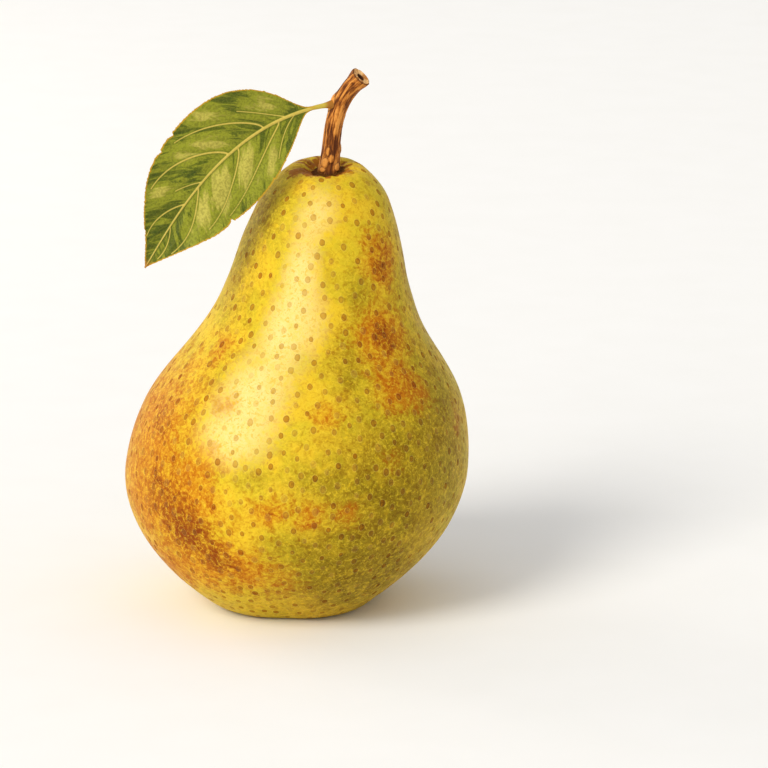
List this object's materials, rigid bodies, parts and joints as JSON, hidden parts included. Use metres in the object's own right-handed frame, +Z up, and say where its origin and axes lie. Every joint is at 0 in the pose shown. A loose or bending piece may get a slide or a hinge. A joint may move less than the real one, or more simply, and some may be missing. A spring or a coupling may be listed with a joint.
{
  "type": "pear",
  "caption": "Ripe whole pear that stands on its base, with a leaning neck, a curved woody stem, a leaf on the stem and a dried calyx in the hollow underneath.",
  "frame": {"origin": "on the surface the pear stands on, under the middle of the fruit's belly", "axes": "+Z up, from the base to the stem; +X to the side that the neck leans to; the leaf hangs on the -X side and comes forward to -Y"},
  "size_m": [0.0691, 0.0678, 0.1088],
  "materials": {
    "skin": "smooth waxy yellow skin with orange-brown blush and brown lenticels, soft sheen",
    "stem": "ridged brown bark, matt",
    "leaf": "mid-green leaf blade with pale raised veins, satin",
    "calyx": "dried, dark brown, matt"
  },
  "bodies": {
    "root": {"fruit": "skin", "stem": "stem", "leaf": "leaf", "sepal_1": "calyx", "sepal_2": "calyx", "sepal_3": "calyx", "sepal_4": "calyx", "sepal_5": "calyx", "stamens": "calyx"}
  },
  "joints": []
}
